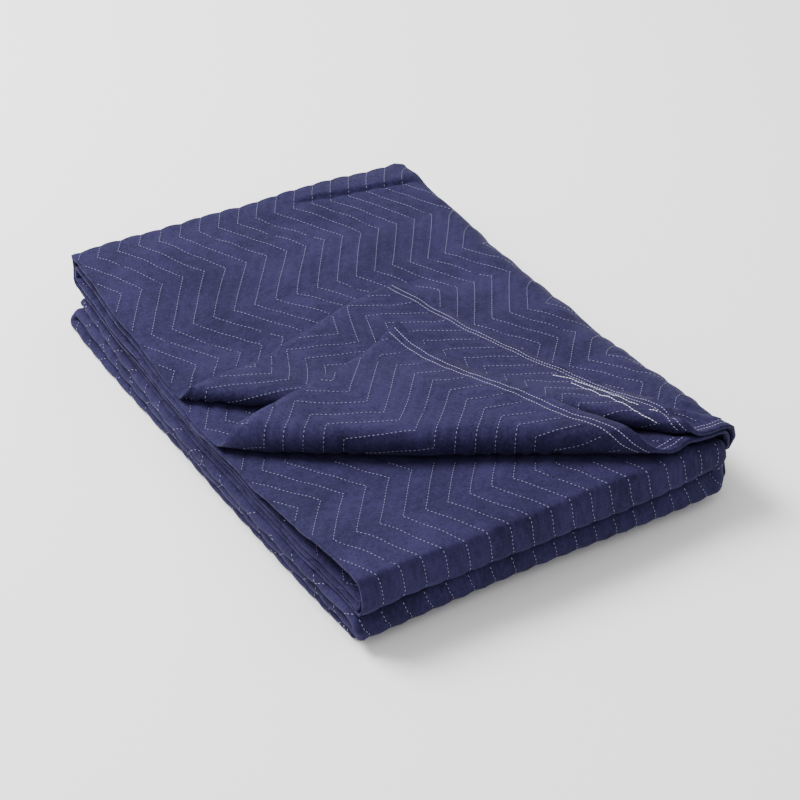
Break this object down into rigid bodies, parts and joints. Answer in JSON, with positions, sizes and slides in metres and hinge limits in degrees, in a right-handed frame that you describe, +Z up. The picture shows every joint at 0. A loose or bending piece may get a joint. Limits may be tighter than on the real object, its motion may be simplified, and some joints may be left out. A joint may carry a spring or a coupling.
{
  "type": "moving blanket",
  "caption": "Quilted moving blanket folded into a flat stack of layers, with the front left corner of its top layers turned back.",
  "frame": {"origin": "on the flat underside, at the middle of the neat stack", "axes": "+Z up out of the stack, +Y along its longer side towards the back folds, +X towards the last fold at the right"},
  "size_m": [0.4793, 0.6859, 0.1187],
  "materials": {
    "quilted_cloth": "matt navy woven polyester, the same on both faces, quilted in zigzag rows with pale thread"
  },
  "bodies": {
    "root": {"blanket": "quilted_cloth"}
  },
  "joints": []
}
